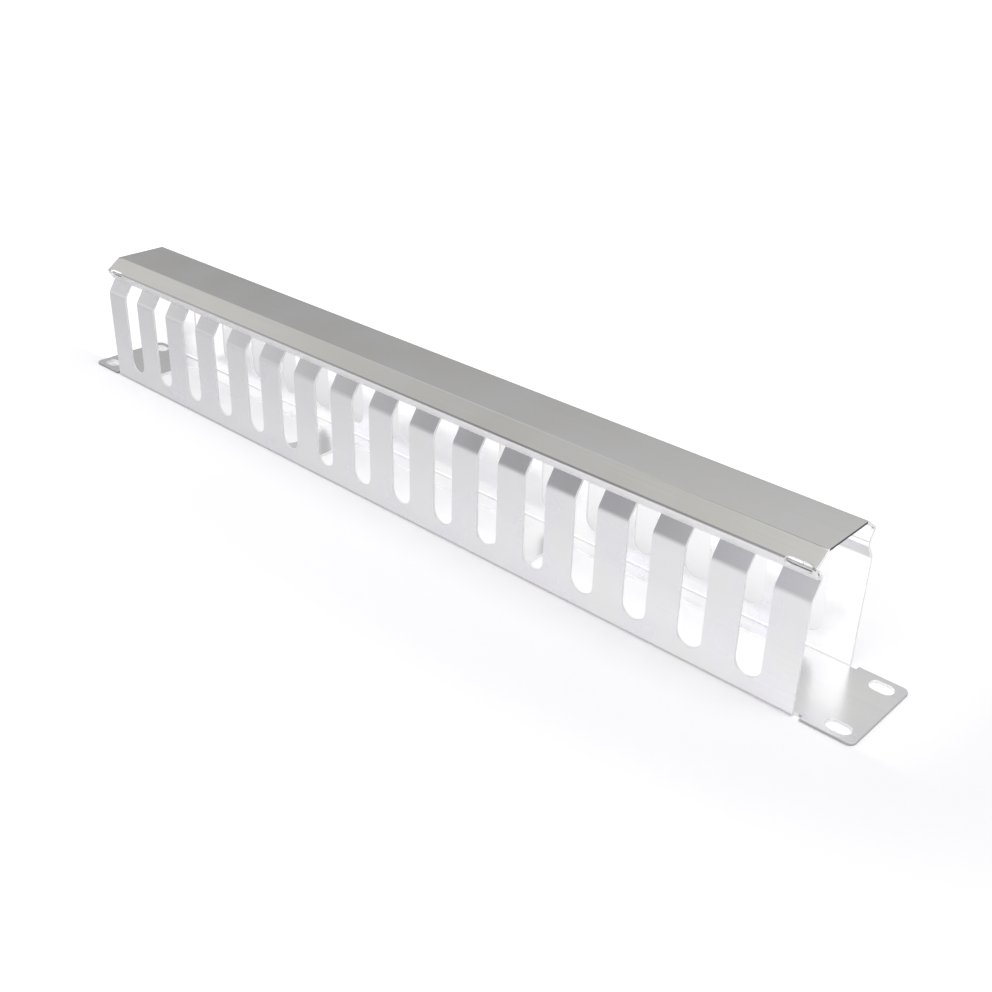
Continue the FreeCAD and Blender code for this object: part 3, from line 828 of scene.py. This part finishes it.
seat = beyond(waist, LIP_SEAT, CLIP_SLOPE)
lip_end = beyond(seat, CLIP_CLEARANCE + COVER_GAUGE, CLIP_SLOPE - math.pi / 2)
fold_corner = beyond(lip_end, LIP_LENGTH, CLIP_SLOPE)
top_corner = beyond(fold_corner, FLANGE_LENGTH, math.pi - FLANGE_SLOPE)
right_side = [top_corner, fold_corner, lip_end]
cover_line = moved_sideways(both_sides(right_side), -COVER_GAUGE / 2)
cover_rows = rows_across(cover_line, COVER_RADIUS)
print("cover blank:", round((cover_rows[-1] - cover_rows[0]) / MM, 2), "mm across")

# %% [markdown]
# To place the catch window in the blank, its lower edge is measured from the fold, 2 mm down the
# lip. The window is 11 mm long and 4.2 mm high, with round ends.

# %% Flat blank of the cover
WINDOW_LENGTH = 11.0 * MM
WINDOW_HEIGHT = 4.2 * MM
WINDOW_DROP = 2.0 * MM
window_reach = WINDOW_HEIGHT / 2
lip_start = [row for row in cover_rows if row > 0][-2]
window_row = lip_start + WINDOW_DROP - window_reach
straight = WINDOW_LENGTH / 2 - window_reach
window_rows = [window_row + window_reach * math.sin(math.radians(angle)) for angle in range(-90, 91, 15)]


def near(row, others):
    return any(abs(row - other) < 0.02 * MM for other in others)


upper_rows = [row for row in cover_rows if row > 0 and not near(row, window_rows)] + window_rows
all_rows = sorted(upper_rows + [-row for row in upper_rows])


def columns_at(row):
    """Places along the sheet where a row has points: its ends and the sides of the windows."""
    off = abs(row) - window_row
    half_open = straight + math.sqrt(max(window_reach ** 2 - off ** 2, 0.0))
    window_along = SLOT_COUNT * PITCH / 2
    inner, outer = window_along - half_open, window_along + half_open
    return [-COVER_LENGTH / 2, -outer, -inner, inner, outer, COVER_LENGTH / 2]


WINDOW_COLUMNS = (1, 3)
faces = []
for low, high in zip(all_rows, all_rows[1:]):
    in_window = abs(abs((low + high) / 2) - window_row) < window_reach
    below, above = columns_at(low), columns_at(high)
    for number in range(len(below) - 1):
        if in_window and number in WINDOW_COLUMNS:
            continue
        faces.append([(below[number], low), (below[number + 1], low),
                      (above[number + 1], high), (above[number], high)])
cover_blank = flat_piece("cover_blank", faces)
cover_fold_line = fold_line_object("cover_fold_line", cover_line)
print("the cover's blank has", len(faces), "faces")

# %% [markdown]
# The cover has nothing that repeats, so its tree only hands the blank to the same folding group.
# Its finish has painted shade along the sharp fold between flange and lip, and a painted highlight past it.
# The end edges of its flat top take a darker tone, which is painted shade and draws the thin dark line at the
# end of the top.

# %% Cover
clip_on, given = new_tree("folded_cover", {"Blank": "Object", **FOLD_INPUTS})
blank = add(clip_on, "GeometryNodeObjectInfo", {"Object": given["Blank"]})
folded_blank(clip_on, blank.outputs["Geometry"], given)

CREASE_PAST_FOLD, CREASE_WIDTH = 0.4 * MM, 0.6 * MM
SHORT_OF_END, INSIDE_TOP = (0.6 * MM, 0.5 * MM), 0.2 * MM
COVER_BURR = 0.1 * MM
upper_half = [row for row in cover_rows if row > 0]
top_edge, fold_row = upper_half[0], upper_half[FOLD_STEPS + 1]
cover_finish = satin_zinc("satin_zinc_cover_sheet", warm="#EEEDEB", cool="#EEEEEE", roughness=0.24,
                          crease=(fold_row + CREASE_PAST_FOLD, CREASE_WIDTH, COVER_GAUGE))


def ends_of_top(tree, along, across):
    """The end edges of the cover's flat top, between its upper folds."""
    at_end = step_up(tree, along, *(COVER_LENGTH / 2 - short for short in SHORT_OF_END))
    on_top = step_up(tree, across, top_edge, top_edge - INSIDE_TOP)
    return add(tree, "ShaderNodeMath", {0: at_end, 1: on_top}, operation="MULTIPLY").outputs[0]


# The ends of the cover's top get the tone #404040, which is painted shade: the thin dark line at the end of
# the top.
cover_edge = sheared_edge("sheared_edge_of_cover", "#404040", ends_of_top)
cover = run_tree("clip_on_cover", clip_on, {
    "Blank": cover_blank, "Fold line": cover_fold_line, "Fold radius": COVER_RADIUS, "Gauge": COVER_GAUGE,
    "Flat beyond": RACK_WIDTH, "Sheet finish": cover_finish, "Edge finish": cover_edge})
cover = deburred(cover, COVER_BURR)
discard(cover_blank, cover_fold_line)
kept_inside(cover, "cover")

# %% [markdown]
# Both meshes take the place of their CAD solids and ride on the same bodies. Nothing else rides: the object
# has only these two pieces.

# %% Hand the pieces to the frame
for piece, node, body, slot in ((duct, "duct_body", "duct", "duct_sheet"),
                                (cover, "cover", "cover", "cover_sheet")):
    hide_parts(node)
    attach(piece, body)
    print(piece.name, "stands for", node, "and rides on", body)

# %% [markdown]
# The object lies on its back on white paper, which reads as the page behind a product. For that
# the paper adds a little light of its own: more at the dim end and far away, and a set amount in
# the band close behind the object, where the paper is seen through the slots. Glossy rays get
# their own share, because the walls mirror the paper beside them. A page pasted in behind the
# object would be whiter still, but it would take no shadow.

# %% Helpers: light of the paper
# The page's light at its dim and its bright end, then steps of distance with the light they add.
PAGE_LIFT = (0.40, 0.075)
LONGWAYS = 0.3
FAR_STEP, FAR_LIFT = (0.08, 0.20), 0.40
FARTHER_STEP, FARTHER_LIFT = (0.4, 1.2), 0.25
# Each side of the band behind the object is a pair: a place just outside it and one inside.
BAND_ALONG = ((-0.248, -0.232), (0.280, 0.240))
BAND_BEHIND = ((-0.0218, -0.0205), (0.12, 0.06))
SHADED_LIFT = 0.14
BESIDE, MIRROR_LIFT = (0.02, 0.07), (0.15, 0.05)


def distance_from_middle(tree, place):
    """Distance over the paper, counted less along the object because the object is long."""
    squashed = add(tree, "ShaderNodeMapping", {"Vector": place, "Scale": (LONGWAYS, 1.0, 1.0)})
    return add(tree, "ShaderNodeVectorMath", {0: squashed.outputs[0]}, operation="LENGTH").outputs["Value"]


def lift_of_page(tree, place, share, farther):
    """Light that the paper adds for the camera, by its place."""
    along, behind, _ = add(tree, "ShaderNodeSeparateXYZ", {0: place}).outputs
    near_lift = add(tree, "ShaderNodeMapRange", {
        "Value": share, "To Min": PAGE_LIFT[0], "To Max": PAGE_LIFT[1]})
    in_band = 1.0
    for value, sides in ((along, BAND_ALONG), (behind, BAND_BEHIND)):
        for outside, inside in sides:
            within = step_up(tree, value, outside, inside)
            in_band = add(tree, "ShaderNodeMath", {0: within, 1: in_band}, operation="MULTIPLY").outputs[0]
    lift = add(tree, "ShaderNodeMix", {0: in_band, 2: near_lift.outputs[0], 3: SHADED_LIFT}).outputs[0]
    for step, more in ((step_up(tree, distance_from_middle(tree, place), *FAR_STEP), FAR_LIFT),
                       (farther, FARTHER_LIFT)):
        lift = add(tree, "ShaderNodeMath", {0: step, 1: more, 2: lift}, operation="MULTIPLY_ADD").outputs[0]
    return lift


def lift_in_mirror(tree, place, farther):
    """Light that the paper adds for glossy rays: most close beside the object and far away."""
    _, from_axis, _ = places_from_middle(tree, place)
    beside = add(tree, "ShaderNodeMapRange", {
        "Value": from_axis, "From Min": BESIDE[0], "From Max": BESIDE[1],
        "To Min": MIRROR_LIFT[0], "To Max": MIRROR_LIFT[1]}).outputs[0]
    return add(tree, "ShaderNodeMath", {0: farther, 1: FARTHER_LIFT, 2: beside},
               operation="MULTIPLY_ADD").outputs[0]


print("page light:", PAGE_LIFT[0], "at the dim end,", PAGE_LIFT[1], "at the bright end")

# %% [markdown]
# The floor is a real surface, so it takes soft shadows. Its paper is dimmer towards one end and brighter
# towards the other, which is painted light, so that the walls mirror paper that brightens along the object.
# It is also mottled by a slow noise. The light worked out above is added as emission, by the kind of ray that
# asks for it.

# %% Floor
FLOOR_REACH, FLOOR_DROP = 8.0, 0.1 * MM
# The paper's colour runs from DIM_PAPER at DIM_END to BRIGHT_PAPER at BRIGHT_END, which is painted light.
DIM_END, BRIGHT_END = -0.35, 0.30
DIM_PAPER, BRIGHT_PAPER = "#E3E2E5", "#F6F5F7"
PAPER_ROUGHNESS = 0.9
MOTTLE_SCALE, MOTTLE_SHARE = 3.0, 0.1


def white_sweep():
    """Matt white paper with painted light, dimmer towards one end, whose page white is made up for the
    camera.
    """
    finish = bpy.data.materials.new("white_sweep")
    finish.use_nodes = True
    tree = finish.node_tree
    shader = tree.nodes["Principled BSDF"]
    shader.inputs["Roughness"].default_value = PAPER_ROUGHNESS
    shader.inputs["Specular IOR Level"].default_value = 0.0
    shader.inputs["Emission Color"].default_value = (1.0, 1.0, 1.0, 1.0)
    place = add(tree, "ShaderNodeTexCoord").outputs["Object"]
    mottle = add(tree, "ShaderNodeTexNoise", {"Vector": place, "Scale": MOTTLE_SCALE, "Detail": 2.0})
    along = add(tree, "ShaderNodeSeparateXYZ", {0: place}).outputs["X"]
    share = step_up(tree, along, DIM_END, BRIGHT_END)
    uneven = add(tree, "ShaderNodeMath", {0: mottle.outputs[0], 1: MOTTLE_SHARE, 2: share},
                 operation="MULTIPLY_ADD")
    tone = add(tree, "ShaderNodeMix", {
        "Factor": uneven.outputs[0], 6: colour(DIM_PAPER), 7: colour(BRIGHT_PAPER)}, data_type="RGBA")
    tree.links.new(tone.outputs[2], shader.inputs["Base Color"])

    rays = add(tree, "ShaderNodeLightPath").outputs
    seen_through = add(tree, "ShaderNodeMath", {0: rays["Is Camera Ray"], 1: rays["Is Transmission Ray"]},
                       operation="MAXIMUM").outputs[0]
    farther = step_up(tree, distance_from_middle(tree, place), *FARTHER_STEP)
    in_mirror = lift_in_mirror(tree, place, farther)
    lift = add(tree, "ShaderNodeMath", {0: rays["Is Glossy Ray"], 1: in_mirror},
               operation="MULTIPLY").outputs[0]
    page = lift_of_page(tree, place, share, farther)
    lift = add(tree, "ShaderNodeMath", {0: seen_through, 1: page, 2: lift},
               operation="MULTIPLY_ADD").outputs[0]
    tree.links.new(lift, shader.inputs["Emission Strength"])
    return finish


floor_mesh = bpy.data.meshes.new("floor")
floor_corners = [(x, y, -FLOOR_DROP) for x, y in patch(-FLOOR_REACH, FLOOR_REACH, -FLOOR_REACH, FLOOR_REACH)]
floor_mesh.from_pydata(floor_corners, [], [(0, 1, 2, 3)])
floor_mesh.materials.append(white_sweep())
floor = bpy.data.objects.new("floor", floor_mesh)
bpy.context.scene.collection.objects.link(floor)
print("floor", 2 * FLOOR_REACH, "m wide")

# %% [markdown]
# A satin mirror is lit by what stands round it. In the photograph the top of the cover is mid
# grey because it mirrors a dim band low behind the object, while the steeper flats mirror the
# brighter ceiling. So the world is a vertical ramp, dim at the horizon and light overhead. A
# picture of a studio could be mapped there instead, but each stop of a ramp can be moved alone.

# %% Sky ramp
# Each stop is the height of a direction, from the horizon to overhead, and its brightness.
SKY_STOPS = [(0.0, 0.17), (0.28, 0.30), (0.45, 0.44), (0.59, 0.63), (0.75, 0.44), (0.90, 0.61), (1.0, 0.92)]
world = bpy.data.worlds.new("studio")
bpy.context.scene.world = world
world.use_nodes = True
sky = world.node_tree
direction = add(sky, "ShaderNodeTexCoord").outputs["Generated"]
height = add(sky, "ShaderNodeSeparateXYZ", {0: direction}).outputs["Z"]
ramp = add(sky, "ShaderNodeValToRGB", {0: height})
while len(ramp.color_ramp.elements) < len(SKY_STOPS):
    ramp.color_ramp.elements.new(0.5)
for stop, (position, level) in zip(ramp.color_ramp.elements, SKY_STOPS):
    stop.position = position
    stop.color = (level, level, level, 1.0)
print("sky stops:", SKY_STOPS)

# %% [markdown]
# A studio also has reflectors, dark flags and lamps of slightly different white. Each is a soft
# round patch of sky in one direction, which adds light, takes it away or tints it. Area lamps
# could stand there instead, but a lamp can't take light away.

# %% Sky patches and tints
# Azimuth, elevation and spread in degrees, then the strength of a patch or the colour of a tint.
SKY_PATCHES = [
    (235, 0, 32, 0.30), (207, 12, 25, 0.62), (223, 25, 27, -0.28), (186, 32, 14, 0.09), (252, 8, 16, 0.25),
    (130, 61, 15, -0.52), (150, 46, 12, 0.18), (258, 34, 24, 0.24), (112, 44, 22, 0.16), (157, 26, 13, 0.13)]
SKY_TINTS = [(200, 52, 38, "#FFFEFA"), (238, 30, 30, "#FAF9FF")]
SKY_MIRROR_LIFT = 0.03
WHITE = colour("#FFFFFF")


def patch_of_sky(azimuth, elevation, spread, strength):
    """A soft round patch of sky in one direction; angles in degrees. A negative strength darkens."""
    turn_about, lift_up = math.radians(azimuth), math.radians(elevation)
    flat = math.cos(lift_up)
    way = (flat * math.cos(turn_about), flat * math.sin(turn_about), math.sin(lift_up))
    toward = add(sky, "ShaderNodeVectorMath", {0: direction, 1: way}, operation="DOT_PRODUCT")
    return add(sky, "ShaderNodeMapRange", {
        "Value": toward.outputs["Value"], "From Min": math.cos(math.radians(spread)), "From Max": 1.0,
        "To Min": 0.0, "To Max": strength}, interpolation_type="SMOOTHSTEP").outputs[0]


level = ramp.outputs[0]
for sky_patch in SKY_PATCHES:
    level = add(sky, "ShaderNodeMath", {0: level, 1: patch_of_sky(*sky_patch)}, operation="ADD").outputs[0]
rays = add(sky, "ShaderNodeLightPath").outputs
level = add(sky, "ShaderNodeMath", {0: rays["Is Glossy Ray"], 1: SKY_MIRROR_LIFT, 2: level},
            operation="MULTIPLY_ADD").outputs[0]
tint = WHITE
for *way, tone in SKY_TINTS:
    tint = add(sky, "ShaderNodeMix", {"Factor": patch_of_sky(*way, 1.0), 6: tint, 7: colour(tone)},
               data_type="RGBA").outputs[2]
shade = add(sky, "ShaderNodeVectorMath", {0: tint, "Scale": level}, operation="SCALE").outputs[0]
print("sky patches:", len(SKY_PATCHES), "and tints:", len(SKY_TINTS))

# %% [markdown]
# The page behind is white for the camera, at a strength of 1. Glossy rays got a little of that
# white above, and all other light still comes from the studio's sky.

# %% World
page_seen = add(sky, "ShaderNodeMath", {0: rays["Is Camera Ray"], 1: rays["Is Transmission Ray"]},
                operation="MAXIMUM").outputs[0]
shade = add(sky, "ShaderNodeMix", {"Factor": page_seen, 6: shade, 7: WHITE}, data_type="RGBA").outputs[2]
background = sky.nodes["Background"]
sky.links.new(shade, background.inputs["Color"])
background.inputs["Strength"].default_value = 1.0
bpy.context.scene.view_settings.view_transform = "Standard"
print("world:", len(sky.nodes), "nodes")

# %% [markdown]
# One large soft lamp above gives the floor its light and the object its faint shadow. Inside the
# duct the photograph is almost white, because a white sweep throws light into it from all round.
# A strip of light that stands upright along the inside of the near wall does that here. The camera
# doesn't see the strip, only what the far wall, the back and the ear mirror of it. Brighter paper
# could do the same, but the walls' outsides would then burn out first.

# %% Lamps
SOFT_BOX_SIZE, SOFT_BOX_POWER = (1.6, 1.0), 12.0
SOFT_BOX_PLACE = Vector((0.75, -0.25, 1.4))
STRIP_PAST_LEFT, STRIP_PAST_RIGHT = 50 * MM, 4 * MM
STRIP_HEIGHT, STRIP_BRIGHTNESS = 60 * MM, 0.92
STRIP_PLACE = Vector(((STRIP_PAST_RIGHT - STRIP_PAST_LEFT) / 2, -15 * MM, 32 * MM))


def area_lamp(name, size, power, place, turn):
    """A rectangular lamp of the given size, which shines down its own Z axis."""
    data = bpy.data.lights.new(name, "AREA")
    data.shape = "RECTANGLE"
    data.size, data.size_y = size
    data.energy = power
    lamp = bpy.data.objects.new(name, data)
    lamp.matrix_world = Matrix.Translation(place) @ turn
    bpy.context.scene.collection.objects.link(lamp)
    return lamp


aim = (Vector((0, 0, 0)) - SOFT_BOX_PLACE).to_track_quat("-Z", "Y").to_matrix().to_4x4()
area_lamp("soft_box", SOFT_BOX_SIZE, SOFT_BOX_POWER, SOFT_BOX_PLACE, aim)
strip_size = (DUCT_LENGTH + STRIP_PAST_LEFT + STRIP_PAST_RIGHT, STRIP_HEIGHT)
strip_power = STRIP_BRIGHTNESS * math.pi * strip_size[0] * strip_size[1]
towards_far_wall = Matrix.Rotation(math.radians(90), 4, "X")
strip = area_lamp("strip_in_duct", strip_size, strip_power, STRIP_PLACE, towards_far_wall)
strip.visible_camera = False
print("strip", round(strip_size[0] / MM, 1), "mm long,", round(strip_power, 3), "W")
